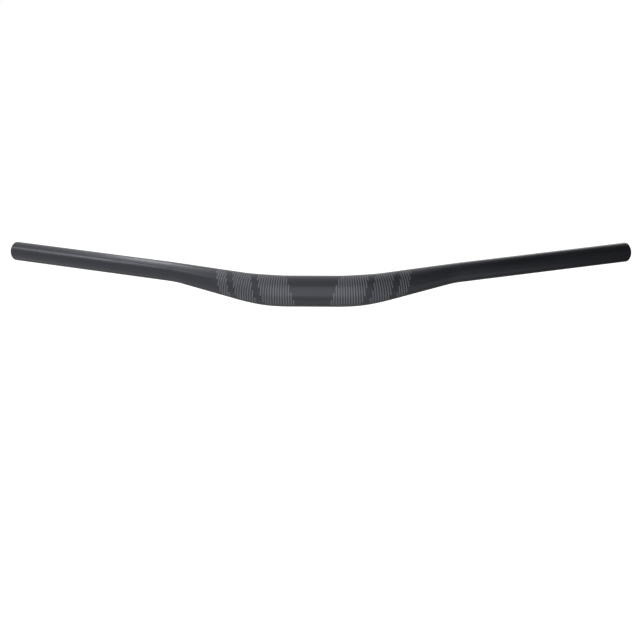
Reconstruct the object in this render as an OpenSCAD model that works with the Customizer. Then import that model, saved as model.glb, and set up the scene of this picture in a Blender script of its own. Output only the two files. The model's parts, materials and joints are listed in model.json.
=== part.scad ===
// A bicycle handlebar of the kind made for trail and touring bikes: one butted aluminium tube,
// bent twice on each side, with a thick clamp in the middle and slim straight ends for the grips.
// Millimetres. The origin is the middle of the stem clamp, on its axis. +X runs along the bar,
// +Y points back to the rider and +Z points up. Both ends sweep back and up.

/* [Bar] */
// Width of the bar, between the centres of its two ends
bar_width = 720; // [680:5:820]
// Height of the end centres above the clamp axis
rise = 35; // [25:1:50]
// Angle in plan by which each side sweeps back to the rider
backsweep = 9; // [5:0.5:12]
// Angle by which the grips point upwards
upsweep = 5; // [2:0.5:6]

/* [Stem clamp] */
// Outside diameter at the stem clamp
clamp_diameter = 35; // [31.8:0.1:36]
// Length of the straight middle that the stem holds
clamp_length = 52; // [40:1:66]
// Length past the straight middle that keeps the clamp diameter
clamp_run = 16; // [8:1:24]
// Wall at the stem clamp
clamp_wall = 2.4; // [1.8:0.1:3.2]

/* [Bends] */
// Distance from the middle to the corner of the inner bend
inner_bend_x = 55; // [48:1:68]
// Distance from the middle to the corner of the outer bend
outer_bend_x = 157; // [140:1:175]
// Bend radius of the outer bend, on the tube's axis
outer_bend_radius = 250; // [150:10:400]

/* [Taper] */
// Length over which the clamp diameter rolls into the taper
shoulder_blend = 22; // [12:1:30]
// Length over which the taper fades into the grip diameter
foot_blend = 14; // [8:1:24]
// Length at the grip diameter before the outer bend ends
foot_run = 4; // [1:0.5:7]

/* [Grips] */
// Outside diameter under the grips
grip_diameter = 22.2; // [21.8:0.1:23.8]
// Wall under the grips
grip_wall = 1.8; // [1.4:0.1:2.4]
// Size of the bevel on the outer edge of each end
end_bevel = 0.6; // [0.3:0.1:1.2]
// Size of the bevel on the inner edge of each end
mouth_bevel = 0.4; // [0.2:0.1:0.6]

/* [Hidden] */

// Facets round the true cylinders, and sides of the lofted outside and bore
$fn = 96;
outside_sides = 44;
bore_sides = 32;

// Longest step between the rings of a loft. The cylinders reach a little way into its ends,
// and its facets stand just outside them, so that no two surfaces coincide.
ring_step = 7;
lap = 1;
facet_clearance = 0.03;

// The bar's right half is three straight runs joined by two bends. Each run has a direction.
function unit(v) = v / norm(v);
half_width = bar_width / 2;
middle_slope = (rise - (half_width - outer_bend_x) * tan(upsweep)) / (outer_bend_x - inner_bend_x);
clamp_way = [1, 0, 0];
rise_way = unit([1, tan(backsweep), middle_slope]);
grip_way = unit([1, tan(backsweep), tan(upsweep)]);

// The inner bend takes up what lies between the straight middle and its corner
inner_angle = acos(clamp_way * rise_way);
inner_tangent = inner_bend_x - clamp_length / 2;
inner_bend_radius = inner_tangent / tan(inner_angle / 2);
outer_angle = acos(rise_way * grip_way);
outer_tangent = outer_bend_radius * tan(outer_angle / 2);

// The corners, and the points on the axis where the bends begin and end
inner_corner = inner_bend_x * clamp_way;
outer_corner = inner_corner + rise_way * (outer_bend_x - inner_bend_x) / rise_way.x;
rise_start = inner_corner + inner_tangent * rise_way;
rise_end = outer_corner - outer_tangent * rise_way;
grip_start = outer_corner + outer_tangent * grip_way;
grip_length = (half_width - grip_start.x) / grip_way.x;

// Distances along the axis from the middle of the bar to the same points
clamp_s = clamp_length / 2;
rise_start_s = clamp_s + inner_bend_radius * inner_angle * PI / 180;
rise_end_s = rise_start_s + norm(rise_end - rise_start);
grip_s = rise_end_s + outer_bend_radius * outer_angle * PI / 180;

// Point and direction at an angle along a bend that leaves start_way and ends in end_way
function inward(start_way, end_way) = unit(end_way - (start_way * end_way) * start_way);
function bend_point(start, start_way, end_way, radius, angle) =
    start + radius * (sin(angle) * start_way + (1 - cos(angle)) * inward(start_way, end_way));
function bend_way(start_way, end_way, angle) =
    cos(angle) * start_way + sin(angle) * inward(start_way, end_way);

// Point and direction of the axis at the distance s from the middle
function inner_turn(s) = (s - clamp_s) / inner_bend_radius * 180 / PI;
function outer_turn(s) = (s - rise_end_s) / outer_bend_radius * 180 / PI;
function axis_point(s) =
    s <= clamp_s ? s * clamp_way
    : s <= rise_start_s
        ? bend_point(clamp_s * clamp_way, clamp_way, rise_way, inner_bend_radius, inner_turn(s))
    : s <= rise_end_s ? rise_start + (s - rise_start_s) * rise_way
    : s <= grip_s ? bend_point(rise_end, rise_way, grip_way, outer_bend_radius, outer_turn(s))
    : grip_start + (s - grip_s) * grip_way;
function axis_way(s) =
    s <= clamp_s ? clamp_way
    : s <= rise_start_s ? bend_way(clamp_way, rise_way, inner_turn(s))
    : s <= rise_end_s ? rise_way
    : s <= grip_s ? bend_way(rise_way, grip_way, outer_turn(s))
    : grip_way;

// The taper is a straight cone with a rounded shoulder and foot. ramp(s) is nothing before its
// corner and grows by s after it, with a parabola across the blend.
shoulder_s = clamp_s + clamp_run + shoulder_blend / 2;
foot_s = grip_s - foot_run - foot_blend / 2;
function ramp(s, corner, blend) =
    s <= corner - blend / 2 ? 0
    : s >= corner + blend / 2 ? s - corner
    : pow(s - corner + blend / 2, 2) / (2 * blend);
function taper_share(s) =
    (ramp(s, shoulder_s, shoulder_blend) - ramp(s, foot_s, foot_blend)) / (foot_s - shoulder_s);
function along_taper(s, at_clamp, at_grip) = at_clamp + (at_grip - at_clamp) * taper_share(s);

// A ring of points square to the axis, the first one at the top. Its sides clear the circle of
// the given radius.
function ring(s, radius, sides) =
    let (
        centre = axis_point(s),
        way = axis_way(s),
        back = unit(cross([0, 0, 1], way)),
        up = cross(way, back),
        reach = (radius + facet_clearance) / cos(180 / sides)
    )
    [for (i = [0 : sides - 1]) let (a = 360 * i / sides)
        centre + reach * (sin(a) * back + cos(a) * up)];

// The stretch between the straight middle and the grip, as one loft through rings
module bent_taper(clamp_radius, grip_radius, sides) {
    rings = ceil((grip_s - clamp_s) / ring_step);
    points = [for (k = [0 : rings]) let (s = clamp_s + (grip_s - clamp_s) * k / rings)
        each ring(s, along_taper(s, clamp_radius, grip_radius), sides)];
    walls = [for (k = [0 : rings - 1], i = [0 : sides - 1])
        let (a = k * sides + i, b = k * sides + (i + 1) % sides)
        each [[a, b, b + sides], [a, b + sides, a + sides]]];
    near_cap = [for (i = [sides - 1 : -1 : 0]) i];
    far_cap = [for (i = [0 : sides - 1]) rings * sides + i];
    polyhedron(points, concat(walls, [near_cap, far_cap]), convexity = 4);
}

// Stands a piece drawn along +Z on the start of the right grip, pointing out along it
module on_grip() {
    translate(grip_start)
        rotate([0, acos(grip_way.z), atan2(grip_way.y, grip_way.x)])
            children();
}

module clamp_rod(radius) {
    rotate([0, 90, 0])
        cylinder(h = clamp_length + 2 * lap, r = radius, center = true);
}

module both_sides() {
    children();
    mirror([1, 0, 0])
        children();
}

// A straight grip, turned with a bevel on the edge of its end
module grip_rod() {
    radius = grip_diameter / 2;
    rotate_extrude()
        polygon([
            [0, -lap],
            [radius, -lap],
            [radius, grip_length - end_bevel],
            [radius - end_bevel, grip_length],
            [0, grip_length]
        ]);
}

// The hole down a grip, opened out at its mouth and run past the end
module grip_hole() {
    radius = grip_diameter / 2 - grip_wall;
    rotate_extrude()
        polygon([
            [0, -lap],
            [radius, -lap],
            [radius, grip_length - mouth_bevel],
            [radius + mouth_bevel, grip_length],
            [radius + mouth_bevel, grip_length + lap],
            [0, grip_length + lap]
        ]);
}

module outside() {
    clamp_rod(clamp_diameter / 2);
    both_sides() {
        bent_taper(clamp_diameter / 2, grip_diameter / 2, outside_sides);
        on_grip() grip_rod();
    }
}

module bore() {
    clamp_rod(clamp_diameter / 2 - clamp_wall);
    both_sides() {
        bent_taper(clamp_diameter / 2 - clamp_wall, grip_diameter / 2 - grip_wall, bore_sides);
        on_grip() grip_hole();
    }
}

// The whole bar: one tube, black all over
module handlebar() {
    color("#202226")
        difference() {
            outside();
            bore();
        }
}

handlebar();
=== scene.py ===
import json
import math

import bpy
from mathutils import Matrix, Vector


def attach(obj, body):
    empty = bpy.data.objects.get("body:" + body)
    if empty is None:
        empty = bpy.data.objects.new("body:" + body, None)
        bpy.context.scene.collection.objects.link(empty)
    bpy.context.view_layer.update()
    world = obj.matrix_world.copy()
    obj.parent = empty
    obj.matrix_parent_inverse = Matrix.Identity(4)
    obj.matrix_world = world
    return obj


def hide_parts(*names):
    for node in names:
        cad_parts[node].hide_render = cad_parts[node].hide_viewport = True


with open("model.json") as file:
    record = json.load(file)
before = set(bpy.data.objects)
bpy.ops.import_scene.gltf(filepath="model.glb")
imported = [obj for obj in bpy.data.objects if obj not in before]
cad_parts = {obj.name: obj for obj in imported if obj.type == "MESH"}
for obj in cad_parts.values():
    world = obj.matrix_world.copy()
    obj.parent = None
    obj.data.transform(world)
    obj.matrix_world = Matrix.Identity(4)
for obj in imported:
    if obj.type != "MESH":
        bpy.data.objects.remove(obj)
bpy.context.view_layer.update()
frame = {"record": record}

# The tube
# One aluminium tube, thick where the stem holds it and swaged thin towards the ends. It is bent
# twice on each side, and both ends are cut square. It is blasted, then anodised satin black.
MM = 0.001
mounts = {mount["name"]: mount for mount in frame["record"]["mounts"]}
clamp_radius = mounts["stem_clamp"]["dims"]["r_mm"] * MM
half_clamp = mounts["stem_clamp"]["dims"]["length_mm"] / 2 * MM
grip_radius = mounts["right_grip"]["dims"]["r_mm"] * MM
bore_radius = mounts["right_end_bore"]["dims"]["r_mm"] * MM
grip_way = Vector(mounts["right_end_bore"]["axis"]).normalized()
grip_length = mounts["right_end_bore"]["dims"]["length_mm"] * MM
grip_middle = Vector(mounts["right_end_bore"]["pos_m"])
clamp_way = Vector((1, 0, 0))
clamp_wall = 2.4 * MM
clamp_run = 16 * MM
inner_bend_x = 55 * MM
outer_bend_x = 157 * MM
outer_bend_radius = 250 * MM
shoulder_blend = 22 * MM
foot_run = 4 * MM
foot_blend = 14 * MM
end_bevel = 0.6 * MM
mouth_bevel = 0.4 * MM

# Each bend fills the corner between two straight runs. The outer corner lies on the grip's axis.
inner_corner = inner_bend_x * clamp_way
outer_corner = grip_middle + grip_way * (outer_bend_x - grip_middle.x) / grip_way.x
rise_way = (outer_corner - inner_corner).normalized()
inner_angle = clamp_way.angle(rise_way)
inner_tangent = inner_bend_x - half_clamp
inner_bend_radius = inner_tangent / math.tan(inner_angle / 2)
outer_angle = rise_way.angle(grip_way)
outer_tangent = outer_bend_radius * math.tan(outer_angle / 2)
rise_start = inner_corner + inner_tangent * rise_way
rise_end = outer_corner - outer_tangent * rise_way
grip_start = outer_corner + outer_tangent * grip_way
bar_end = grip_middle + grip_way * grip_length / 2

# Distances along the tube's axis, from its middle to the end of each run and bend
rise_start_s = half_clamp + inner_bend_radius * inner_angle
rise_end_s = rise_start_s + (rise_end - rise_start).length
grip_s = rise_end_s + outer_bend_radius * outer_angle
end_s = grip_s + (bar_end - grip_start).length


def bend_inward(start_way, end_way):
    """From the start of a bend towards its centre."""
    return (end_way - start_way.dot(end_way) * start_way).normalized()


def bend_point(start, start_way, end_way, radius, angle):
    inward = bend_inward(start_way, end_way)
    return start + radius * (math.sin(angle) * start_way + (1 - math.cos(angle)) * inward)


def axis_point(s):
    """The point on the axis of the right half, at the distance s from the middle."""
    if s <= half_clamp:
        return s * clamp_way
    if s <= rise_start_s:
        turn = (s - half_clamp) / inner_bend_radius
        return bend_point(half_clamp * clamp_way, clamp_way, rise_way, inner_bend_radius, turn)
    if s <= rise_end_s:
        return rise_start + (s - rise_start_s) * rise_way
    if s <= grip_s:
        turn = (s - rise_end_s) / outer_bend_radius
        return bend_point(rise_end, rise_way, grip_way, outer_bend_radius, turn)
    return grip_start + (s - grip_s) * grip_way


# The taper is a straight cone with a rounded shoulder and a rounded foot
shoulder_s = half_clamp + clamp_run + shoulder_blend / 2
foot_s = grip_s - foot_run - foot_blend / 2


def ramp(s, corner, rounding):
    """Nothing before a corner and the distance from it after it, rounded by a parabola."""
    if s <= corner - rounding / 2:
        return 0.0
    if s >= corner + rounding / 2:
        return s - corner
    return (s - corner + rounding / 2) ** 2 / (2 * rounding)


def along_taper(s, at_clamp, at_grip):
    share = (ramp(s, shoulder_s, shoulder_blend) - ramp(s, foot_s, foot_blend)) / (foot_s - shoulder_s)
    return at_clamp + (at_grip - at_clamp) * share


def outside_radius(s):
    return along_taper(s, clamp_radius, grip_radius)


def bore_radius_at(s):
    return along_taper(s, clamp_radius - clamp_wall, bore_radius)


def stations(start, end, step):
    """Even distances from start to end, about a step apart, without the start itself."""
    count = max(1, round(abs(end - start) / step))
    return [start + (end - start) * k / count for k in range(1, count + 1)]


def deselect_all():
    if bpy.context.object and bpy.context.object.mode == "EDIT":
        bpy.ops.object.mode_set(mode="OBJECT")
    bpy.ops.object.select_all(action="DESELECT")


def scale_ring(s, factor):
    bpy.ops.transform.resize(value=(factor, factor, factor), center_override=axis_point(s))


def draw_ring(s_before, s, radius_before, radius):
    """Draws the selected ring on along the tube's axis: extruded on straight runs, spun in bends."""
    middle = (s_before + s) / 2
    if half_clamp < middle < rise_start_s or rise_end_s < middle < grip_s:
        inner = middle < rise_start_s
        start = half_clamp * clamp_way if inner else rise_end
        ways = (clamp_way, rise_way) if inner else (rise_way, grip_way)
        bend_radius = inner_bend_radius if inner else outer_bend_radius
        bpy.ops.mesh.spin(
            steps=1,
            angle=(s_before - s) / bend_radius,
            center=start + bend_radius * bend_inward(*ways),
            axis=ways[0].cross(ways[1]).normalized(),
        )
    else:
        step = axis_point(s) - axis_point(s_before)
        bpy.ops.mesh.extrude_region_move(TRANSFORM_OT_translate={"value": step})
    scale_ring(s, radius / radius_before)


ring_points = 96
fine_step = 2.5 * MM
clamp_step = 9 * MM
grip_step = 30 * MM

deselect_all()
bpy.ops.mesh.primitive_circle_add(
    vertices=ring_points, radius=clamp_radius, fill_type="NOTHING", rotation=(0, math.pi / 2, 0)
)
tube = bpy.context.object
tube.name = "handlebar_tube"
bpy.ops.object.transform_apply()
bpy.ops.object.mode_set(mode="EDIT")
bpy.ops.mesh.select_all(action="SELECT")

# Out along the outside, ring by ring
outward = stations(0, half_clamp, clamp_step)
outward += stations(half_clamp, rise_start_s, fine_step)
outward += stations(rise_start_s, rise_end_s, fine_step)
outward += stations(rise_end_s, grip_s, fine_step)
outward += stations(grip_s, end_s - end_bevel, grip_step)
s_before = 0.0
for s in outward:
    draw_ring(s_before, s, outside_radius(s_before), outside_radius(s))
    s_before = s

# Over the bevelled edge, across the cut end and into the mouth
draw_ring(end_s - end_bevel, end_s, grip_radius, grip_radius - end_bevel)
draw_ring(end_s, end_s, grip_radius - end_bevel, bore_radius + mouth_bevel)
draw_ring(end_s, end_s - mouth_bevel, bore_radius + mouth_bevel, bore_radius)

# Back along the bore to the middle
inward = stations(end_s - mouth_bevel, grip_s, grip_step)
inward += stations(grip_s, rise_end_s, 2 * fine_step)
inward += stations(rise_end_s, rise_start_s, 2 * fine_step)
inward += stations(rise_start_s, half_clamp, 2 * fine_step)
inward += stations(half_clamp, 0, clamp_step)
s_before = end_s - mouth_bevel
for s in inward:
    draw_ring(s_before, s, bore_radius_at(s_before), bore_radius_at(s))
    s_before = s
bpy.ops.object.mode_set(mode="OBJECT")

# The left side mirrors the right. Edges sharper than edge_angle stay crisp.
weld_distance = 0.001 * MM
edge_angle = math.radians(30)
mirror = tube.modifiers.new("left side", "MIRROR")
mirror.merge_threshold = weld_distance
bpy.ops.object.modifier_apply(modifier=mirror.name)
bpy.ops.object.mode_set(mode="EDIT")
bpy.ops.mesh.select_all(action="SELECT")
bpy.ops.mesh.remove_doubles(threshold=weld_distance)
bpy.ops.mesh.normals_make_consistent(inside=False)
bpy.ops.object.mode_set(mode="OBJECT")
bpy.ops.object.shade_smooth_by_angle(angle=edge_angle)

# The part of a noise's range that is spread out from low to high
noise_from = 0.3
noise_to = 0.7


def noise_share(material, scale, detail, low, high, stretch=(1, 1, 1)):
    """A noise on the piece's own coordinates, as a number from low to high. Scale is per metre."""
    nodes, links = material.node_tree.nodes, material.node_tree.links
    place = nodes.new("ShaderNodeTexCoord")
    mapping = nodes.new("ShaderNodeMapping")
    mapping.inputs["Scale"].default_value = stretch
    noise = nodes.new("ShaderNodeTexNoise")
    noise.inputs["Scale"].default_value = scale
    noise.inputs["Detail"].default_value = detail
    spread = nodes.new("ShaderNodeMapRange")
    spread.inputs["From Min"].default_value = noise_from
    spread.inputs["From Max"].default_value = noise_to
    spread.inputs["To Min"].default_value = low
    spread.inputs["To Max"].default_value = high
    links.new(place.outputs["Object"], mapping.inputs["Vector"])
    links.new(mapping.outputs["Vector"], noise.inputs["Vector"])
    links.new(noise.outputs["Fac"], spread.inputs["Value"])
    return spread.outputs["Result"]


def blasted_grain(material, shader, depth):
    """The fine grain that blasting leaves, over a soft unevenness of twice its depth, as bump."""
    nodes, links = material.node_tree.nodes, material.node_tree.links
    fine = nodes.new("ShaderNodeBump")
    fine.inputs["Strength"].default_value = 0.5
    fine.inputs["Distance"].default_value = depth
    soft = nodes.new("ShaderNodeBump")
    soft.inputs["Strength"].default_value = 0.3
    soft.inputs["Distance"].default_value = 2 * depth
    links.new(noise_share(material, scale=2600, detail=2, low=0, high=1), fine.inputs["Height"])
    links.new(noise_share(material, scale=260, detail=2, low=0, high=1), soft.inputs["Height"])
    links.new(soft.outputs["Normal"], fine.inputs["Normal"])
    links.new(fine.outputs["Normal"], shader.inputs["Normal"])


def two_tone(material, shader, darker, lighter):
    """A cloudy blend of two tones of the finish, drawn out along the bar."""
    nodes, links = material.node_tree.nodes, material.node_tree.links
    tones = nodes.new("ShaderNodeMix")
    tones.data_type = "RGBA"
    tones.inputs["A"].default_value = (*darker, 1)
    tones.inputs["B"].default_value = (*lighter, 1)
    clouds = noise_share(material, scale=120, detail=3, low=0, high=1, stretch=(0.25, 1, 1))
    links.new(clouds, tones.inputs["Factor"])
    links.new(tones.outputs["Result"], shader.inputs["Base Color"])


# The black's sheen, and the ink's, is a little blue
cool_sheen = (0.84, 0.87, 1.0, 1)


def satin_black():
    material = bpy.data.materials.new("satin_black_anodising")
    material.use_nodes = True
    shader = material.node_tree.nodes["Principled BSDF"]
    shader.inputs["IOR"].default_value = 1.62
    shader.inputs["Specular Tint"].default_value = cool_sheen
    two_tone(material, shader, darker=(0.0045, 0.0048, 0.0062), lighter=(0.0065, 0.0069, 0.0088))
    roughness = noise_share(material, scale=90, detail=4, low=0.29, high=0.34, stretch=(0.2, 1, 1))
    material.node_tree.links.new(roughness, shader.inputs["Roughness"])
    blasted_grain(material, shader, depth=0.02 * MM)
    return material


tube.data.materials.append(satin_black())
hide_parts("handlebar")
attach(tube, "root")

# The print
# Pinstripes round the front of the bar, in slanted blocks that get shorter towards the grips.
# Screened on in grey ink, a few hundredths of a millimetre thick.
stripe_width = 1.3 * MM
stripe_pitch = 2.7 * MM
ink_height = 0.03 * MM
ink_thickness = 0.05 * MM
print_start_s = 24 * MM
block_lengths = (34 * MM, 22 * MM, 12 * MM)
block_gap = 7 * MM

# How far a block's slanted end runs outwards from its top to its bottom. Here it runs inwards.
block_lean = -12 * MM

# Angles round the tube, from its top over its front, between which the print lies
print_top = math.radians(8)
print_bottom = math.radians(138)


def axis_way(s):
    tiny = 0.01 * MM
    return (axis_point(s + tiny) - axis_point(s - tiny)).normalized()


def pinstripe(s, top_angle, bottom_angle):
    """One stripe square to the axis, between two angles measured from the top to the front."""
    way = axis_way(s)
    back = Vector((0, 0, 1)).cross(way).normalized()
    up = way.cross(back)
    bpy.ops.mesh.primitive_cone_add(
        vertices=ring_points,
        radius1=outside_radius(s - stripe_width / 2) + ink_height,
        radius2=outside_radius(s + stripe_width / 2) + ink_height,
        depth=stripe_width,
        end_fill_type="NOTHING",
        location=axis_point(s),
        rotation=way.to_track_quat("Z", "Y").to_euler(),
    )
    stripe = bpy.context.object
    bpy.ops.object.mode_set(mode="EDIT")
    for angle, keep in ((top_angle, 1), (bottom_angle, -1)):
        bpy.ops.mesh.select_all(action="SELECT")
        along = math.cos(angle) * up - math.sin(angle) * back
        bpy.ops.mesh.bisect(
            plane_co=axis_point(s), plane_no=keep * way.cross(along), clear_inner=True
        )
    bpy.ops.object.mode_set(mode="OBJECT")
    return stripe


# A stripe near the slanted end of a block covers only a share of the print's height, and the very
# shortest ones are left out
shortest_share = 0.04
stripes = []
block_s = print_start_s
for block_length in block_lengths:
    first = block_s - abs(block_lean) / 2
    count = int((block_length + abs(block_lean)) / stripe_pitch)
    for k in range(count + 1):
        s = first + k * stripe_pitch
        near = (s - block_s) / block_lean + 0.5
        far = (s - block_s - block_length) / block_lean + 0.5
        top_share = max(0.0, min(near, far))
        bottom_share = min(1.0, max(near, far))
        if bottom_share - top_share > shortest_share:
            top_angle = print_top + top_share * (print_bottom - print_top)
            bottom_angle = print_top + bottom_share * (print_bottom - print_top)
            deselect_all()
            stripes.append(pinstripe(s, top_angle, bottom_angle))
    block_s += block_length + block_gap

deselect_all()
for stripe in stripes:
    stripe.select_set(True)
bpy.context.view_layer.objects.active = stripes[0]
bpy.ops.object.join()
ink = bpy.context.object
ink.name = "pinstripe_print"
bpy.ops.object.transform_apply()
wall = ink.modifiers.new("ink thickness", "SOLIDIFY")
wall.thickness = ink_thickness
wall.offset = -1
bpy.ops.object.modifier_apply(modifier=wall.name)
mirror = ink.modifiers.new("left side", "MIRROR")
mirror.use_mirror_merge = False
bpy.ops.object.modifier_apply(modifier=mirror.name)
bpy.ops.object.mode_set(mode="EDIT")
bpy.ops.mesh.select_all(action="SELECT")
bpy.ops.mesh.normals_make_consistent(inside=False)
bpy.ops.object.mode_set(mode="OBJECT")
bpy.ops.object.shade_smooth_by_angle(angle=edge_angle)


def grey_ink():
    material = bpy.data.materials.new("grey_screen_ink")
    material.use_nodes = True
    shader = material.node_tree.nodes["Principled BSDF"]
    shader.inputs["IOR"].default_value = 1.95
    shader.inputs["Specular Tint"].default_value = cool_sheen
    two_tone(material, shader, darker=(0.058, 0.060, 0.067), lighter=(0.074, 0.076, 0.085))
    roughness = noise_share(material, scale=400, detail=2, low=0.37, high=0.44)
    material.node_tree.links.new(roughness, shader.inputs["Roughness"])
    blasted_grain(material, shader, depth=0.015 * MM)
    return material


ink.data.materials.append(grey_ink())
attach(ink, "root")

# The floor and the studio
# A white floor far below the bar, in a white surround, with softboxes in front, behind and on the
# left. The camera sees both plain white. For the bar, the surround has a dark screen on the right,
# and the mirrored floor darkens to the right and the back.
floor_z = -0.45
floor_size = 12
deselect_all()
bpy.ops.mesh.primitive_plane_add(size=floor_size, location=(0, 0, floor_z))
floor = bpy.context.object
floor.name = "floor"
bpy.ops.object.transform_apply()


def is_reflected(node_tree):
    """One for rays that meet the surroundings by a reflection or through glass."""
    light_path = node_tree.nodes.new("ShaderNodeLightPath")
    either = node_tree.nodes.new("ShaderNodeMath")
    either.operation = "MAXIMUM"
    node_tree.links.new(light_path.outputs["Is Glossy Ray"], either.inputs[0])
    node_tree.links.new(light_path.outputs["Is Transmission Ray"], either.inputs[1])
    return either.outputs["Value"]


def is_seen(node_tree):
    """One for rays that come straight from the camera."""
    return node_tree.nodes.new("ShaderNodeLightPath").outputs["Is Camera Ray"]


def blend(node_tree, share, at_nothing, at_one):
    """Goes from one strength to another with a share. Each strength is a number or a socket."""
    mix = node_tree.nodes.new("ShaderNodeMix")
    node_tree.links.new(share, mix.inputs["Factor"])
    for name, strength in (("A", at_nothing), ("B", at_one)):
        if isinstance(strength, float):
            mix.inputs[name].default_value = strength
        else:
            node_tree.links.new(strength, mix.inputs[name])
    return mix.outputs["Result"]


def fade(node_tree, coordinates, way, start, end, before, after):
    """A soft step from one strength to another, between two distances along a direction."""
    along = node_tree.nodes.new("ShaderNodeVectorMath")
    along.operation = "DOT_PRODUCT"
    along.inputs[1].default_value = way
    step = node_tree.nodes.new("ShaderNodeMapRange")
    step.interpolation_type = "SMOOTHSTEP"
    step.inputs["From Min"].default_value = start
    step.inputs["From Max"].default_value = end
    step.inputs["To Min"].default_value = before
    step.inputs["To Max"].default_value = after
    place = node_tree.nodes.new("ShaderNodeTexCoord")
    node_tree.links.new(place.outputs[coordinates], along.inputs[0])
    node_tree.links.new(along.outputs["Value"], step.inputs["Value"])
    return step.outputs["Result"]


def product(node_tree, first, second):
    times = node_tree.nodes.new("ShaderNodeMath")
    times.operation = "MULTIPLY"
    node_tree.links.new(first, times.inputs[0])
    node_tree.links.new(second, times.inputs[1])
    return times.outputs["Value"]


# The floor's colour, and the glow that the camera sees on top of it
floor_white = 0.8
floor_glow = 0.8


def white_floor():
    material = bpy.data.materials.new("white_floor")
    material.use_nodes = True
    tree = material.node_tree
    shader = tree.nodes["Principled BSDF"]
    shader.inputs["Roughness"].default_value = 0.9
    to_the_right = fade(tree, "Object", way=(1, 0.32, 0), start=0.1, end=0.95, before=0.92, after=0.1)
    to_the_back = fade(tree, "Object", way=(0.25, 1, 0), start=-0.15, end=0.12, before=1.0, after=0.42)
    reflected = is_reflected(tree)
    glow = blend(tree, reflected, 0.0, product(tree, to_the_right, to_the_back))
    tree.links.new(blend(tree, reflected, floor_white, 0.0), shader.inputs["Base Color"])
    tree.links.new(blend(tree, is_seen(tree), glow, floor_glow), shader.inputs["Emission Strength"])
    shader.inputs["Emission Color"].default_value = (1, 1, 1, 1)
    return material


floor.data.materials.append(white_floor())

# The screen is a ring with soft edges round the way that +X points, and is less dark at the back.
# The fill lights the bar and the floor, and the surround is what the bar mirrors.
world = bpy.data.worlds.new("studio")
bpy.context.scene.world = world
world.use_nodes = True
tree = world.node_tree
screen_near = fade(tree, "Generated", way=(1, 0, 0.35), start=0.40, end=0.64, before=0.0, after=1.0)
screen_far = fade(tree, "Generated", way=(1, 0, 0), start=0.78, end=0.98, before=1.0, after=0.0)
screen_back = fade(tree, "Generated", way=(0, 1, 0), start=0.1, end=0.6, before=1.0, after=0.7)
screen = product(tree, product(tree, screen_near, screen_far), screen_back)
fill = blend(tree, screen, at_nothing=0.6, at_one=0.04)
surround = blend(tree, screen, at_nothing=0.87, at_one=0.06)
strength = blend(tree, is_seen(tree), blend(tree, is_reflected(tree), fill, surround), 1.0)
tree.nodes["Background"].inputs["Color"].default_value = (1, 1, 1, 1)
tree.links.new(strength, tree.nodes["Background"].inputs["Strength"])


def soft_lamp(name, place, target, long_way, size, power):
    """A softbox that faces the target. Its size is its width, and its length along long_way."""
    light = bpy.data.lights.new(name, "AREA")
    light.shape = "RECTANGLE"
    light.size, light.size_y = size
    light.energy = power
    lamp = bpy.data.objects.new(name, light)
    bpy.context.scene.collection.objects.link(lamp)
    out = (Vector(place) - Vector(target)).normalized()
    side = Vector(long_way).cross(out).normalized()
    turn = Matrix((side, out.cross(side), out)).transposed().to_4x4()
    lamp.matrix_world = Matrix.Translation(place) @ turn
    lamp.visible_camera = False


# Three small lamps hang on the left. A large one stands in front, and another behind on the right.
soft_lamp(
    "left_strip",
    place=(-0.75, -0.37, 0.69),
    target=(-0.25, 0, 0),
    long_way=(1, -0.2, 0),
    size=(0.21, 0.32),
    power=1.3,
)
soft_lamp(
    "left_rim_light",
    place=(-0.36, 0.30, 0.52),
    target=(-0.18, 0, 0),
    long_way=(0, 1, -0.5),
    size=(0.10, 0.25),
    power=0.62,
)
soft_lamp(
    "left_bend_light",
    place=(-0.49, 0.05, 0.76),
    target=(-0.16, 0, 0),
    long_way=(0, 1, 0),
    size=(0.10, 0.40),
    power=0.6,
)
soft_lamp(
    "front_softbox",
    place=(-0.055, -1.0, 0.33),
    target=(-0.055, 0, 0.33),
    long_way=(0, 0, 1),
    size=(0.61, 1.5),
    power=2.65,
)
soft_lamp(
    "back_softbox",
    place=(0.95, 1.05, 0.45),
    target=(0, 0, 0),
    long_way=(-1.05, 0.95, 0),
    size=(0.8, 1.5),
    power=4.5,
)

# The camera looks at the front of the bar from a little above. Its place, turns and lens are fitted
# to the bar's outline in the photograph. The two shifts move it off the middle of the clamp.
camera_distance = 0.6155
camera_height_angle = math.radians(19.02)
camera_swing = math.radians(2.27)
camera_roll = math.radians(0.37)
shift_right = 7.7 * MM
shift_down = 32.25 * MM
focal_length_mm = 30.92
sensor_width_mm = 36
camera_data = bpy.data.cameras.new("camera")
camera_data.lens = focal_length_mm
camera_data.sensor_width = sensor_width_mm
camera = bpy.data.objects.new("camera", camera_data)
bpy.context.scene.collection.objects.link(camera)
camera.matrix_world = (
    Matrix.Rotation(camera_swing, 4, "Z")
    @ Matrix.Rotation(math.pi / 2 - camera_height_angle, 4, "X")
    @ Matrix.Rotation(-camera_roll, 4, "Z")
    @ Matrix.Translation((shift_right, -shift_down, camera_distance))
)
bpy.context.scene.camera = camera
bpy.context.scene.view_settings.view_transform = "Standard"
